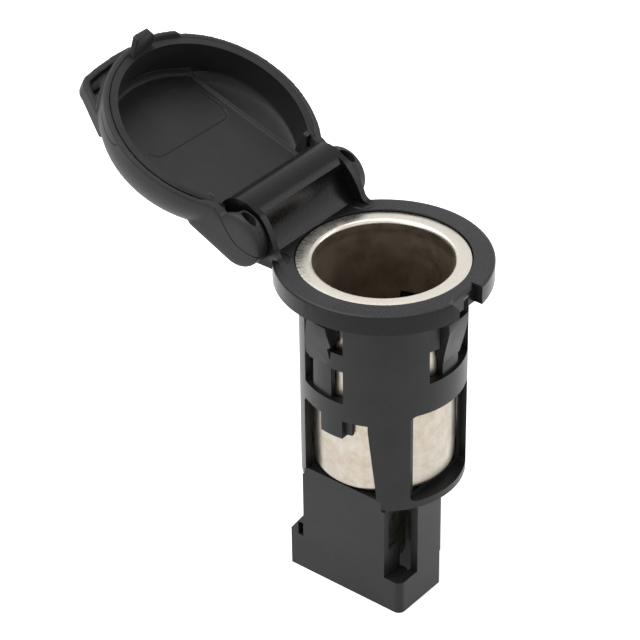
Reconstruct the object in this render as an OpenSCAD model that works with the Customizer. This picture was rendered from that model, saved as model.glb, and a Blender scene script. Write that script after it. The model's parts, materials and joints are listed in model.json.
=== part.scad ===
// Car power socket with a hinged lid, for a round hole in a trim panel.
// Frame: millimetres, +Z up along the socket bore and out of its mouth.
// The origin is on the bore axis, in the plane where the flange seats on the panel.
// The hinge lies towards +Y and the lid's latch towards -Y.

/* [Socket shell] */
// Radius of the bore that takes the plug
bore_r = 10.7; // [10.5:0.05:11]
// Sheet thickness of the shell
shell_t = 0.55; // [0.45:0.05:0.65]
// Depth of the shell, from the top of its rim to its underside
socket_depth = 35.85; // [35:0.05:36]
// How far the flared rim stands out beyond the shell's wall
rim_flare = 2.05; // [1.75:0.05:2.25]
// Radius of the rounded edge where the rim turns down into the bore
rim_roll_r = 0.6; // [0.5:0.05:0.8]
// Outside radius of the corner between the shell's wall and its floor
shell_corner_r = 1.1; // [0.9:0.1:1.6]
// Height of the shell's nose, which narrows below the straight wall
nose_h = 3; // [2.8:0.1:4]
// How far the nose narrows in radius
nose_draft = 0.15; // [0.1:0.05:0.3]
// Width of the window punched in the shell's wall
punch_w = 5; // [4:0.5:6]
// Height of the window punched in the shell's wall
punch_h = 4; // [3:0.5:5]

/* [Bezel] */
// Width of the flange outside the shell's rim
flange_w = 3.45; // [3.2:0.05:3.7]
// Height of the flange above the panel
flange_h = 3.18; // [3:0.02:3.4]
// How far the shell's rim lies below the top of the flange
rim_drop = 0.33; // [0.2:0.01:0.4]
// Thickness of the flange's outer skirt
skirt_t = 1.5; // [1.2:0.1:1.8]
// Thickness of the flange's top plate
top_plate_t = 1.2; // [1:0.1:1.4]
// Width of the notch for the lid's latch hook
notch_w = 5.4; // [5.2:0.1:6]
// Rounding of the flange's upper edge
edge_r = 0.4; // [0.2:0.1:0.6]

/* [Hinge] */
// Distance of the hinge axis beyond the flange's edge
hinge_out = 1.05; // [0.85:0.1:1.45]
// Height of the hinge axis above the panel
hinge_z = 5.45; // [5.3:0.05:5.7]
// Radius of the hinge pin
pin_r = 1.25; // [1:0.05:1.4]
// Width of the knuckle on the bezel
knuckle_w = 21.2; // [20.6:0.1:21.4]
// Radius of the knuckle's rounded nose
nose_r = 4.36; // [4.2:0.02:4.4]
// Radius of the ears on the lid
ear_r = 4.4; // [4.2:0.1:4.6]
// Angle through which the lid has opened
lid_open = 152.8; // [0:0.1:152.8]

/* [Lid] */
// How far the lid's rim reaches beyond the flange
lid_over = 0.95; // [0.8:0.05:1.1]
// Height of the lid's rim above the panel when shut
lid_rim_z = 3.5; // [3.45:0.05:3.7]
// Height of the dome above the rim, at its middle
lid_h = 9.4; // [9:0.1:9.8]
// Angle by which the dome's top falls towards the hinge
lid_tilt = 2.6; // [1.6:0.1:3.2]
// Radius of the dome's shoulder
shoulder_r = 8; // [7.4:0.1:8.4]
// Radius of the dome's gently curved crown
crown_r = 60; // [50:1:80]
// Wall thickness of the outer cover
cover_t = 1; // [0.9:0.05:1.1]
// Wall thickness of the inner liner
liner_t = 1.2; // [1:0.1:1.3]
// Depth of the liner's floor below the rim, at the latch end
floor_tip = 7; // [6.6:0.1:7.2]
// Depth of the liner's floor below the rim, at the hinge end
floor_hinge = 4.4; // [4.2:0.1:4.8]
// Height of the liner's upright wall
wall_h = 4.6; // [4:0.1:5]
// Width of the latch hook
hook_w = 4.8; // [4:0.1:5]
// Length of the latch hook below the rim
hook_l = 3.4; // [3:0.1:3.4]
// How far the latch hook leans outwards at its tip
hook_lean = 0.8; // [0.5:0.1:1]
// Width of the pull tab's straight edge
tab_w = 21; // [19:0.5:22]
// How far the pull tab reaches beyond the lid's rim
tab_out = 2; // [1.6:0.1:2.4]
// Thickness of the pull tab
tab_t = 2.6; // [2.2:0.1:3]
// Distance of the two straight ridges in the cup from its middle, at the hinge end
ridge_x = 11; // [10.6:0.1:11.2]

/* [Housing] */
// Wall thickness of the windowed barrel
barrel_t = 1.4; // [1.3:0.05:1.5]
// Gap between the shell and the barrel round it
barrel_gap = 0.25; // [0.2:0.05:0.4]
// Height of the whole collar below the flange, above the windows
collar_h = 1.8; // [1.4:0.1:2]
// Thickness of the barrel's floor
floor_t = 1.8; // [1.65:0.05:2]
// Width of the latch finger that grips the panel
finger_w = 4.1; // [3.8:0.1:4.4]
// Thickness of the panel that the latch fingers grip
panel_t = 2.4; // [2:0.1:2.8]
// How far the finger's barb stands out from the barrel
barb_out = 1.3; // [1:0.1:1.5]

/* [Connector] */
// Width of the connector block
block_w = 10.4; // [10:0.1:10.8]
// Length of the connector block
block_l = 19.4; // [19:0.1:19.8]
// Height of the connector block
block_h = 20.4; // [19:0.2:22]
// Wall thickness of the connector block
block_t = 1.3; // [1.1:0.05:1.4]
// Width of a terminal blade
blade_w = 6.3; // [6:0.1:6.4]
// Thickness of a terminal blade
blade_t = 0.8; // [0.7:0.05:0.9]
// Spacing of the two blades
blade_pitch = 8; // [7.8:0.1:8.2]

/* [Contact] */
// Radius of the centre contact's button
contact_r = 3.4; // [3:0.1:3.8]
// Height of the button above its bush
contact_h = 1.8; // [1.4:0.1:2.2]
// Radius of the contact rivet's shank
shank_r = 1.6; // [1.4:0.1:1.8]
// Radius of the insulating bush's flange
bush_r = 5.4; // [5:0.1:5.8]
// Thickness of the insulating bush's flange
bush_t = 1.2; // [1:0.1:1.4]

/* [Hidden] */
$fn = 96;
eps = 0.01;
// Clearances
seat_gap = 0.02;
pin_gap = 0.05;
rim_gap = 0.15;
skin_gap = 0.08;
knuckle_gap = 0.3;
// Heights of the shell
rim_z = flange_h - rim_drop;
shell_r = bore_r + shell_t;
rim_r = shell_r + rim_flare;
shell_bottom = rim_z - socket_depth;
shell_floor = shell_bottom + shell_t;
corner_z = shell_bottom + shell_corner_r;
taper_z = corner_z + nose_h;
corner_x = shell_r - nose_draft - shell_corner_r;
// Bezel
flange_r = rim_r + flange_w;
hinge_y = flange_r + hinge_out;
barrel_r = shell_r + barrel_gap + barrel_t;
ledge_z = rim_z - shell_t;
notch_x = -0.5;
groove_r = barrel_r + 0.1;
groove_z = ledge_z - 0.8;
inner_wall_r = groove_r + 1;
plate_z = flange_h - top_plate_t;
// Knuckle
nose_y = hinge_y + 1.1;
nose_z = hinge_z + 1.3;
crease_y = hinge_y - 2.4;
crease_z = hinge_z + 3.9;
knuckle_bottom = 1.1;
rib_t = 1.1;
rib_bend = 13.05;
// Lid
ear_in = knuckle_w / 2 + knuckle_gap;
ear_split = ear_in + 1.35;
ear_out = ear_split + 1.15;
ear_round = 0.9;
arm_drop = 0.12;
panel_sink = 0.3;
lid_r = flange_r + lid_over;
lid_rear = hinge_y - 6.6;
liner_r = lid_r - cover_t - skin_gap;
liner_wall_r = liner_r - liner_t;
tab_reach = lid_r + tab_out;
tab_z = lid_rim_z + 3.9;
// Housing
cage_r = shell_r + barrel_gap;
finger_y = 0.4;
block_x1 = -0.1;
block_x0 = block_x1 - block_w;
block_y1 = 8.04;
block_y0 = block_y1 - block_l;
sill_z = shell_bottom - 0.25;
barrel_depth = floor_t - sill_z;
boss_r = 9.5;
upper_sill = -16;
block_z0 = sill_z - block_h;
roof_z = -barrel_depth - 1.6;
blade_x = (block_x0 + block_x1) / 2;
blade_mid_y = (block_y0 + block_y1) / 2;
positive_y = blade_mid_y + blade_pitch / 2;
ground_y = blade_mid_y - blade_pitch / 2;
blade_tip_z = block_z0 + 5;
// Contact stack, counted down from the shell's floor
washer_t = 0.6;
strip_t = 0.6;
neck_r = shank_r + 1;
insulator_z = shell_bottom - washer_t;
strip_z = insulator_z - strip_t;
clamp_z = strip_z - 0.5;
floor_z = strip_z - 0.1;
boss_z = floor_z - 2;
ground_strip_z = shell_bottom - strip_t;
ground_rivet_xy = [blade_x - 1, ground_y + 1.9];

// Plain helpers

module tube(r_out, r_in, z0, z1) {
    translate([0, 0, z0])
    difference() {
        cylinder(r = r_out, h = z1 - z0);
        translate([0, 0, -1]) cylinder(r = r_in, h = z1 - z0 + 2);
    }
}

module box(x0, x1, y0, y1, z0, z1) {
    translate([x0, y0, z0]) cube([x1 - x0, y1 - y0, z1 - z0]);
}

// A rectangle with round corners
module round_rect(x0, x1, y0, y1, r) {
    translate([x0 + r, y0]) square([x1 - x0 - 2 * r, y1 - y0]);
    translate([x0, y0 + r]) square([x1 - x0, y1 - y0 - 2 * r]);
    for (x = [x0 + r, x1 - r], y = [y0 + r, y1 - r])
        translate([x, y]) circle(r = r, $fn = 48);
}

// Carries an outline drawn in Y and Z along X
module along_x(x0, x1) {
    translate([x0, 0, 0])
    rotate([90, 0, 90])
    linear_extrude(height = x1 - x0) children();
}

// Carries an outline drawn in X and Z along Y
module along_y(y0, y1) {
    translate([0, y1, 0])
    rotate([90, 0, 0])
    linear_extrude(height = y1 - y0) children();
}

// Swings the shut lid open about the hinge axis
module opened() {
    translate([0, hinge_y, hinge_z])
    rotate([-lid_open, 0, 0])
    translate([0, -hinge_y, -hinge_z]) children();
}

// Socket shell: one deep-drawn cup with a flared, rolled rim

// Half section of the cup's body, filled in, drawn in from its outer skin by an inset
module cup_outline(inset) {
    polygon([[0, shell_bottom + inset], [corner_x, shell_bottom + inset], [corner_x, corner_z],
        [shell_r - nose_draft - inset, corner_z], [shell_r - inset, taper_z],
        [shell_r - inset, rim_z - rim_roll_r], [0, rim_z - rim_roll_r]]);
    translate([corner_x, corner_z]) circle(r = shell_corner_r - inset, $fn = 64);
}

module shell_profile() {
    roll = rim_roll_r;
    difference() {
        union() {
            difference() {
                cup_outline(0);
                cup_outline(shell_t);
                translate([-1, shell_bottom - 1]) square([neck_r + seat_gap + 1, 10]);
            }
            translate([bore_r + roll, rim_z - shell_t])
                square([rim_r - bore_r - roll, shell_t]);
            translate([bore_r + roll, rim_z - roll]) circle(r = roll, $fn = 48);
        }
        translate([bore_r + shell_t, rim_z - 2 * roll])
            square([2 * roll, 2 * roll - shell_t]);
    }
}

module socket_shell() {
    color([0.78, 0.75, 0.69])
    difference() {
        rotate_extrude() shell_profile();
        // window punched in the far wall
        rotate([0, 0, 40])
            box(0, shell_r + 1, -punch_w / 2, punch_w / 2, -12 - punch_h, -12);
        translate([ground_rivet_xy[0], ground_rivet_xy[1], shell_bottom - 1])
            cylinder(r = 0.8 + seat_gap, h = shell_t + 2, $fn = 32);
    }
}

// Bezel: flange ring with the hinge knuckle moulded on

module flange_profile() {
    difference() {
        union() {
            translate([shell_r + rim_gap, 0]) square([flange_r - edge_r - shell_r - rim_gap, flange_h]);
            translate([flange_r - edge_r - eps, 0]) square([edge_r + eps, flange_h - edge_r]);
            translate([flange_r - edge_r, flange_h - edge_r]) circle(r = edge_r, $fn = 32);
        }
        // seat for the shell's rim
        translate([0, ledge_z]) square([rim_r + rim_gap, flange_h]);
        // groove that the housing's collar fills
        translate([0, -1]) square([groove_r, groove_z + 1]);
        // hollow between the inner wall and the skirt
        translate([inner_wall_r, -1])
            square([flange_r - skirt_t - inner_wall_r, plate_z + 1]);
    }
}

module knuckle_section() {
    difference() {
        union() {
            translate([nose_y, nose_z]) circle(r = nose_r);
            polygon([[flange_r - skirt_t - 3, knuckle_bottom], [nose_y + 0.8, knuckle_bottom],
                [nose_y + nose_r - 0.6, nose_z - 2.4], [nose_y, nose_z],
                [crease_y, crease_z], [flange_r - skirt_t - 3, flange_h]]);
        }
        // concave front wall, from the crease down to the ring
        translate([crease_y - 6.36, crease_z - 1.33]) circle(r = 6.5);
    }
}

// Points on an arc about (cy, cz), for outlines that bend gently
function bend(cy, cz, r, from, to, steps) =
    [for (i = [0:steps]) [cy + r * cos(from + (to - from) * i / steps), cz + r * sin(from + (to - from) * i / steps)]];

// Side view of a rib: it falls from the crease in a swell and runs out on the ring
module rib_section() {
    foot_z = flange_h - 0.6;
    polygon(concat([[hinge_y - 7.6, foot_z], [nose_y, foot_z], [nose_y, nose_z], [nose_y - 1.9, nose_z + nose_r - 0.52]],
        bend(hinge_y + 5.28, hinge_z - 3.94, 11.41, 133.8, 162, 7),
        bend(hinge_y - 7.6, hinge_z - 0.3, 1.97, -8, -90, 6)));
}

// The ribs seen from above: they lean outwards towards the bore
module rib_plan() {
    half = knuckle_w / 2;
    polygon(concat([[half - rib_t, nose_y], [half, nose_y]],
        bend(half + rib_bend, hinge_y - 2.4, rib_bend, 180, 210, 6),
        bend(half + rib_bend, hinge_y - 2.4, rib_bend + rib_t, 210, 180, 6)));
}

module rib() {
    intersection() {
        along_x(knuckle_w / 2 - 3, knuckle_w / 2 + 5) rib_section();
        linear_extrude(height = 20) rib_plan();
    }
}

module bezel() {
    half = knuckle_w / 2;
    color([0.13, 0.13, 0.135])
    difference() {
        union() {
            rotate_extrude() flange_profile();
            difference() {
                union() {
                    along_x(-half, half) knuckle_section();
                    for (s = [0, 1]) mirror([s, 0, 0]) rib();
                }
                // the knuckle stays clear of the shell's rim
                translate([0, 0, -1]) cylinder(r = rim_r + rim_gap, h = 20);
                translate([0, 0, -1]) cylinder(r = flange_r - skirt_t, h = plate_z + 1);
            }
        }
        // notch for the latch hook, with a ramp on one side and a bevel behind it
        box(notch_x - notch_w / 2, notch_x + notch_w / 2, -flange_r - 1, -flange_r + skirt_t + eps, -1, flange_h + 1);
        along_y(-flange_r - 1, -flange_r + skirt_t + eps)
            polygon([[notch_x - notch_w / 2 - 1.3, flange_h], [notch_x - notch_w / 2 + 1, flange_h - 2.6],
                [notch_x - notch_w / 2 + 1, flange_h + 1], [notch_x - notch_w / 2 - 1.3, flange_h + 1]]);
        along_x(notch_x - notch_w / 2, notch_x + notch_w / 2)
            polygon([[-flange_r + skirt_t + 0.7, flange_h], [-flange_r + skirt_t + 0.7, flange_h + 1],
                [-flange_r, flange_h + 1], [-flange_r, flange_h - 0.7], [-flange_r + skirt_t, flange_h - 0.7]]);
        // bore for the hinge pin
        translate([-half - 1, hinge_y, hinge_z])
            rotate([0, 90, 0]) cylinder(r = pin_r + seat_gap, h = knuckle_w + 2);
    }
}

module hinge_pin() {
    color([0.7, 0.7, 0.71])
    translate([-ear_split + 0.3, hinge_y, hinge_z])
        rotate([0, 90, 0]) cylinder(r = pin_r, h = 2 * (ear_split - 0.3));
}

// Lid liner: hard inner cup with the hinge ears and the latch hook

// Slope of the lid's floor, falling towards the hinge
floor_slope = atan((floor_tip - floor_hinge) / 22.2);

module below_floor(depth_tip) {
    // the half space under the sloping floor, with the lid shut
    translate([-30, -lid_r + 5.2, lid_rim_z + depth_tip])
        rotate([-floor_slope, 0, 0])
        translate([0, -30, -40]) cube([60, 80, 40]);
}

module ear_section(r) {
    translate([hinge_y, hinge_z]) circle(r = r);
    polygon([[hinge_y - 10.2, lid_rim_z], [hinge_y - 4, lid_rim_z], [hinge_y, hinge_z],
        [hinge_y, hinge_z + r], [hinge_y - 5.8, hinge_z + r + 0.15], [hinge_y - 10.2, hinge_z + r + 0.45]]);
}

module lid_liner_shut() {
    skin = cover_t + skin_gap;
    difference() {
        union() {
            difference() {
                dome(skin);
                difference() {
                    translate([0, 0, lid_rim_z]) linear_extrude(height = 40) plate_plan(liner_t);
                    below_floor(floor_tip + liner_t);
                }
            }
            for (s = [0, 1]) mirror([s, 0, 0])
                along_x(ear_in, ear_split) ear_section(ear_r);
            latch_hook();
        }
        // room inside the cup, less the floor plate between the two ridges
        difference() {
            cup_room();
            difference() {
                translate([0, 0, lid_rim_z]) linear_extrude(height = 40) plate_plan(0);
                below_floor(floor_tip);
            }
        }
        // shallow panel sunk in the floor plate
        intersection() {
            below_floor(floor_tip + panel_sink);
            translate([0, 0, panel_sink]) cup_room();
            linear_extrude(height = 20) round_rect(-9.2, 8.6, -12.2, -1.5, 2.2);
        }
        for (s = [0, 1]) mirror([s, 0, 0]) rib_room();
        // the cup is open towards the knuckle
        box(-ear_in, ear_in, lid_rear, 40, -10, 40);
        // pin holes, blind from the inner faces
        translate([-ear_split + 0.25, hinge_y, hinge_z])
            rotate([0, 90, 0]) cylinder(r = pin_r + pin_gap, h = 2 * ear_split - 0.5);
    }
}

// The floor plate seen from above: its two straight edges draw together towards the latch
module plate_plan(inset) {
    half = ridge_x - inset;
    polygon([[-half + 2.33, -30], [half - 2.33, -30], [half + 1.17, 30], [-half - 1.17, 30]]);
}

// The cup's room: an upright wall, then a slope up to the crown
module cup_room() {
    translate([0, 0, lid_rim_z - 1])
        rotate_extrude()
        polygon([[0, 0], [liner_wall_r, 0], [liner_wall_r, wall_h + 1], [liner_wall_r - 4.2, wall_h + 3.2],
            [0, wall_h + 3.2]]);
}

// Latch hook: a fin that leans outwards, with a barb on its edge
module latch_hook() {
    left = notch_x - hook_w / 2;
    right = notch_x + hook_w / 2;
    tip_z = lid_rim_z - hook_l;
    root_out = -liner_r + 0.3;
    root_in = -liner_r + liner_t - 0.1;
    tip_y = -liner_r - hook_lean;
    intersection() {
        along_y(tip_y - 1, root_in + 1)
            polygon([[left, lid_rim_z + 1], [right + 0.2, lid_rim_z + 1], [right + 0.2, lid_rim_z - 0.2],
                [right - 0.4, lid_rim_z - 0.5], [right - 0.5, tip_z + 2.4], [right - 0.15, tip_z + 1.7],
                [right - 0.15, tip_z + 0.9], [right - 1.1, tip_z], [left + 1.1, tip_z], [left + 0.6, tip_z + 0.15],
                [left, lid_rim_z - 0.1]]);
        along_x(left - 1, right + 1)
            polygon([[root_out, lid_rim_z + 1], [root_out, lid_rim_z], [tip_y, tip_z], [tip_y + liner_t - 0.2, tip_z],
                [root_in, lid_rim_z], [root_in, lid_rim_z + 1]]);
    }
}

// Side view of the room that each ear leaves for the rib beside it
module rib_room() {
    intersection() {
        linear_extrude(height = 20)
            polygon(concat([[knuckle_w / 2 - 1, hinge_y - 2.4]],
                bend(knuckle_w / 2 + rib_bend, hinge_y - 2.4, rib_bend - knuckle_gap, 180, 203, 5),
                [[knuckle_w / 2 - 1, hinge_y - 7.38]]));
        along_x(knuckle_w / 2 - 2, knuckle_w / 2 + 3)
            polygon([[hinge_y - 8, 0], [hinge_y - 8, 4.2], [hinge_y - 7.3, 4.2], [hinge_y - 5.5, 6.2],
                [hinge_y - 4.5, 8.3], [hinge_y - 2.3, 11], [hinge_y - 2.3, 0]]);
    }
}

module lid_liner() {
    color([0.2, 0.2, 0.205])
    opened() lid_liner_shut();
}

// Lid cover: soft outer skin, a dome that is higher at the latch end

// Half section of the dome, drawn in from the outer skin by an inset
module dome_profile(inset) {
    r = lid_r - inset;
    h = lid_h - inset;
    corner = shoulder_r - inset;
    intersection() {
        union() {
            square([r - corner, h]);
            square([r, h - corner]);
            translate([r - corner, h - corner]) circle(r = corner, $fn = 48);
        }
        translate([0, h - crown_r]) circle(r = crown_r, $fn = 180);
        translate([0, -5]) square([r, h + 5]);
    }
}

// The dome leans towards the hinge above a level rim
module dome(inset, below = 0) {
    intersection() {
        translate([0, 0, lid_rim_z - below])
            rotate([-lid_tilt, 0, 0])
            rotate_extrude() union() {
                translate([0, below]) dome_profile(inset);
                translate([0, -2]) square([lid_r - inset, below + 2 + eps]);
            }
        box(-30, 30, -30, 30, lid_rim_z - below, 40);
    }
}

// Pull tab seen from above: a gently bowed edge, round corners and tapering sides
module tab_outline(inset) {
    half = tab_w / 2 - inset;
    corner = 2.6 - inset;
    edge = tab_reach - inset;
    bow = 45;
    bow_drop = round(100 * (bow - sqrt(bow * bow - (half - corner) * (half - corner)))) / 100;
    difference() {
        union() {
            for (s = [-1, 1]) translate([s * (half - corner), -edge + bow_drop + corner]) circle(r = corner, $fn = 64);
            intersection() {
                translate([0, bow - edge]) circle(r = bow, $fn = 360);
                translate([-half + corner, -edge - 1]) square([2 * (half - corner), 9]);
            }
            polygon([[half - 0.1, -edge + bow_drop + corner - 0.6], [half + 3, -10], [0, 0],
                [-half - 3, -10], [-half + 0.1, -edge + bow_drop + corner - 0.6]]);
        }
        circle(r = lid_r - 4);
    }
}

// Ledge that hangs from the rim beside the latch hook
module rim_ledge() {
    intersection() {
        tube(lid_r, flange_r + rim_gap, lid_rim_z - 0.75, lid_rim_z + 1);
        along_y(-30, 0)
            polygon([[2.9, lid_rim_z + 1], [2.9, lid_rim_z - 0.4], [3.6, lid_rim_z - 0.75], [7.2, lid_rim_z - 0.75],
                [8.2, lid_rim_z], [8.2, lid_rim_z + 1]]);
    }
}

// Soft cap over one ear: a round end about the hinge and an arm to the dome
module ear_cap() {
    x0 = ear_split + skin_gap;
    t = ear_out - x0;
    translate([x0, hinge_y, hinge_z])
        rotate([0, 90, 0])
        rotate_extrude() {
            square([ear_r - ear_round, t]);
            square([ear_r, t - ear_round]);
            translate([ear_r - ear_round, t - ear_round]) circle(r = ear_round, $fn = 48);
        }
    // the arm lies a little inside the round end all over
    top = hinge_z + ear_r - arm_drop;
    along_y(lid_rear - 2, hinge_y)
        translate([x0, lid_rim_z]) {
            square([t - arm_drop, top - ear_round - lid_rim_z]);
            square([t - arm_drop - ear_round, top - lid_rim_z]);
            translate([t - arm_drop - ear_round, top - ear_round - lid_rim_z]) circle(r = ear_round, $fn = 48);
        }
}

module lid_cover_shut() {
    difference() {
        union() {
            difference() {
                union() {
                    dome(0);
                    rim_ledge();
                    // pull tab with its finger pocket
                    difference() {
                        translate([0, 0, tab_z]) linear_extrude(height = tab_t) tab_outline(0);
                        difference() {
                            translate([0, 0, tab_z - 1]) linear_extrude(height = tab_t) tab_outline(1.2);
                            dome(-0.6);
                        }
                    }
                }
                box(-ear_in, ear_in, lid_rear, 40, -10, 40);
                box(-30, 30, lid_rear + 3, 40, -10, 40);
            }
            for (s = [0, 1]) mirror([s, 0, 0]) ear_cap();
        }
        // room for the liner and its ears
        dome(cover_t, 1);
        for (s = [0, 1]) mirror([s, 0, 0])
            along_x(ear_in - 3, ear_split + skin_gap) ear_section(ear_r + skin_gap);
    }
}

module lid_cover() {
    color([0.23, 0.23, 0.24])
    opened() lid_cover_shut();
}

// Housing: windowed barrel and connector block in one moulding

// Where a window's edge at this angle lies along X on the barrel's face, to a hundredth
function edge_at(angle) = round(100 * barrel_r * cos(angle)) / 100;

module barrel_windows() {
    wide = 20;
    top = -collar_h;
    // upper windows, one pair seen along X and one along Y
    for (turn = [0, 180]) rotate([0, 0, turn]) {
        along_x(-wide, -4) {
            round_rect(-2.1, 6.4, upper_sill, top, 0.3);
        }
        along_y(-wide, -4) {
            polygon([[edge_at(249.7), -12.6], [edge_at(300), -12.6], [edge_at(300), top],
                [edge_at(259.5), top], [edge_at(259.5), -7.15], [edge_at(249.7), -7.15]]);
        }
        // lower windows, open down to the floor along X
        along_x(-wide, -4)
            difference() {
                union() {
                    round_rect(-7, 6.84, sill_z + 3, -19.2, 1);
                    translate([-7, sill_z]) square([13.84, 8]);
                }
                polygon([[-5.8, -18], [-5.8, -20.2], [-6.91, -32], [-6.91, -50], [-9, -50], [-9, -18]]);
            }
        along_y(-wide, -10)
            round_rect(edge_at(236), edge_at(300), -33.8, -17.8, 1);
    }
}

// A latch finger on the side that faces -X, from y0 to y1; its barb is wider by the flares,
// near edge at its top and middle, far edge at its foot and top
module finger(y0, y1, near_top, near_mid, far_low, far_top) {
    stem_r = cage_r + 0.9;
    barb_r = barrel_r + barb_out;
    barb_top = -panel_t;
    difference() {
        union() {
            // stem, set back from the barrel's face
            intersection() {
                tube(barrel_r - 0.5, cage_r, upper_sill - 0.6, barb_top - 4.6);
                box(-20, -8, y0, y1, -20, 0);
            }
            // wedge that snaps out under the panel
            intersection() {
                along_y(y0 - 2, y1 + 2)
                    polygon([[-cage_r + 1.5, -10.6], [-stem_r, -10.2], [-barb_r, barb_top - 0.8],
                        [-barb_r, barb_top], [-cage_r + 1.5, barb_top]]);
                along_x(-20, 0)
                    polygon([[y0 - near_top, 0], [y0 - near_top, barb_top - 0.4], [y0 - near_mid, barb_top - 3.6],
                        [y0, barb_top - 4.3], [y0, -11], [y1, -11], [y1, -9.9], [y1 + far_low, -9.2],
                        [y1 + far_top, barb_top - 0.3], [y1 + far_top, 0]]);
                translate([0, 0, -20]) cylinder(r = barb_r, h = 20);
            }
        }
        translate([0, 0, -20]) cylinder(r = cage_r, h = 40);
    }
}

// Outline of the connector block: only its front corner is well rounded
module block_outline() {
    round_rect(block_x0, block_x1, block_y0, block_y1, 0.25);
}

module block_front_corner() {
    r = 1.2;
    difference() {
        translate([block_x0 - 1, block_y0 - 1]) square([r + 1, r + 1]);
        translate([block_x0 + r, block_y0 + r]) circle(r = r, $fn = 48);
    }
}

module housing() {
    pull_w = blade_w + 0.5;
    color([0.17, 0.17, 0.175])
    difference() {
        union() {
            difference() {
                union() {
                    tube(barrel_r, cage_r, sill_z - eps, groove_z);
                    // floor under the shell, with a boss round the contact's rivet
                    translate([0, 0, -barrel_depth]) cylinder(r = barrel_r, h = sill_z + barrel_depth);
                    translate([0, 0, boss_z]) cylinder(r = boss_r, h = 2);
                }
                barrel_windows();
                // the barrel ends at the block's face
                box(-30, block_x0, -30, 30, -40, sill_z);
            }
            // connector block, with the locking window cut through its front corner
            difference() {
                translate([0, 0, block_z0])
                    linear_extrude(height = -barrel_depth - block_z0)
                    difference() {
                        block_outline();
                        block_front_corner();
                    }
                box(block_x0 - 1, block_x0 + 4.4, block_y0 - 1, block_y0 + 3.2, block_z0 + 5.9, -barrel_depth + 1);
            }
            // guide rib on the block's far side
            box(block_x1 - 0.5, block_x1 + 0.45, block_y0 + 0.3, block_y0 + 1.6, block_z0 + 6, -barrel_depth);
            // stop foot at the far end of the block
            along_x(block_x0, block_x1)
                polygon([[block_y1 - 1.5, block_z0], [block_y1 + 2.4, block_z0], [block_y1 + 2.4, block_z0 + 7],
                    [block_y1, block_z0 + 10.4], [block_y1 - 1.5, block_z0 + 10.4]]);
            // latch fingers, two seen along X and two seen along Y
            for (turn = [0, 180]) rotate([0, 0, turn]) {
                finger(finger_y, finger_y + finger_w, 0.45, 0.8, 0.53, -0.5);
                rotate([0, 0, 90]) finger(1.5 - finger_w, 1.5, -0.3, 0, 0.28, 0.85);
            }
            // cross bars that carry the fingers seen along X
            for (turn = [0, 180]) rotate([0, 0, turn])
                intersection() {
                    tube(barrel_r - 0.2, cage_r, -10.35, -7.35);
                    box(-20, -8, -3, finger_y + 0.5, -11, -7);
                }
            // lugs that hang from the middle band
            for (turn = [0, 180]) rotate([0, 0, turn]) {
                intersection() {
                    tube(barrel_r, cage_r, -22.45, -19);
                    box(-20, -8, -1.9, 2.2, -23, -19);
                }
                intersection() {
                    tube(barrel_r - 0.9, cage_r, -22.1, -19);
                    box(-20, -8, -2.95, -1.8, -23, -19);
                }
            }
        }
        // recess for the terminals and the end of the rivet
        translate([0, 0, floor_z]) cylinder(r = 9.3, h = sill_z - floor_z + 1);
        translate([0, 0, clamp_z - 0.5]) cylinder(r = 3.5, h = 3);
        // terminal slots
        for (y = [positive_y, ground_y])
            box(blade_x - pull_w / 2, blade_x + pull_w / 2, y - blade_t / 2 - 0.1, y + blade_t / 2 + 0.1,
                roof_z - 1, sill_z + 1);
        // seat of the ground strip
        box(blade_x - pull_w / 2, blade_x + pull_w / 2, ground_y - 0.6, ground_y + 3.2, ground_strip_z - 0.6, sill_z + 1);
        // plug cavity, open below, round a post in its front corner
        difference() {
            translate([0, 0, block_z0 - 1])
                linear_extrude(height = roof_z - block_z0 + 1)
                round_rect(block_x0 + block_t, block_x1 - block_t, block_y0 + block_t, block_y1 - block_t, 0.8);
            translate([block_x0 + 2.6, block_y0 + 2.55, block_z0 + 1.5]) {
                cylinder(r = 1.6, h = 8.8, $fn = 64);
                translate([0, 0, 8.8]) cylinder(r1 = 1.6, r2 = 0.9, h = 0.7, $fn = 64);
            }
        }
        // small recess between the stop foot and the block
        box(block_x0 - 1, block_x0 + 1.4, block_y1 - 0.05, block_y1 + 0.95, block_z0 + 6.4, block_z0 + 8.9);
        // the piece of wall beside the finger that faces -Y is set back a little
        intersection() {
            tube(barrel_r + 1, barrel_r - 0.35, -7.4, -collar_h);
            box(edge_at(249.7), edge_at(259.5) + 0.3, -20, -8, -8, 0);
        }
    }
}

// Centre contact, its insulators and both terminals

module contact_rivet() {
    color([0.74, 0.62, 0.36]) {
        translate([0, 0, shell_floor + bush_t]) {
            cylinder(r = contact_r, h = contact_h - 0.6);
            translate([0, 0, contact_h - 0.6]) cylinder(r1 = contact_r, r2 = contact_r - 1.1, h = 0.6);
        }
        translate([0, 0, clamp_z - 0.2]) cylinder(r = shank_r, h = shell_floor + bush_t - clamp_z + 0.3);
    }
}

module contact_bush() {
    color([0.32, 0.2, 0.13])
    difference() {
        union() {
            translate([0, 0, shell_floor]) cylinder(r = bush_r, h = bush_t);
            translate([0, 0, shell_bottom]) cylinder(r = neck_r, h = shell_t + eps);
        }
        translate([0, 0, shell_bottom - 1]) cylinder(r = shank_r + seat_gap, h = 5);
    }
}

module insulating_washer() {
    color([0.32, 0.2, 0.13])
    tube(bush_r - 0.8, shank_r + seat_gap, insulator_z, shell_bottom);
}

// A blade that hangs from the height top
module blade(y, top) {
    along_y(y - blade_t / 2, y + blade_t / 2)
        polygon([[blade_x - blade_w / 2, blade_tip_z + 1], [blade_x - blade_w / 2 + 1, blade_tip_z],
            [blade_x + blade_w / 2 - 1, blade_tip_z], [blade_x + blade_w / 2, blade_tip_z + 1],
            [blade_x + blade_w / 2, top], [blade_x - blade_w / 2, top]]);
}

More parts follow.
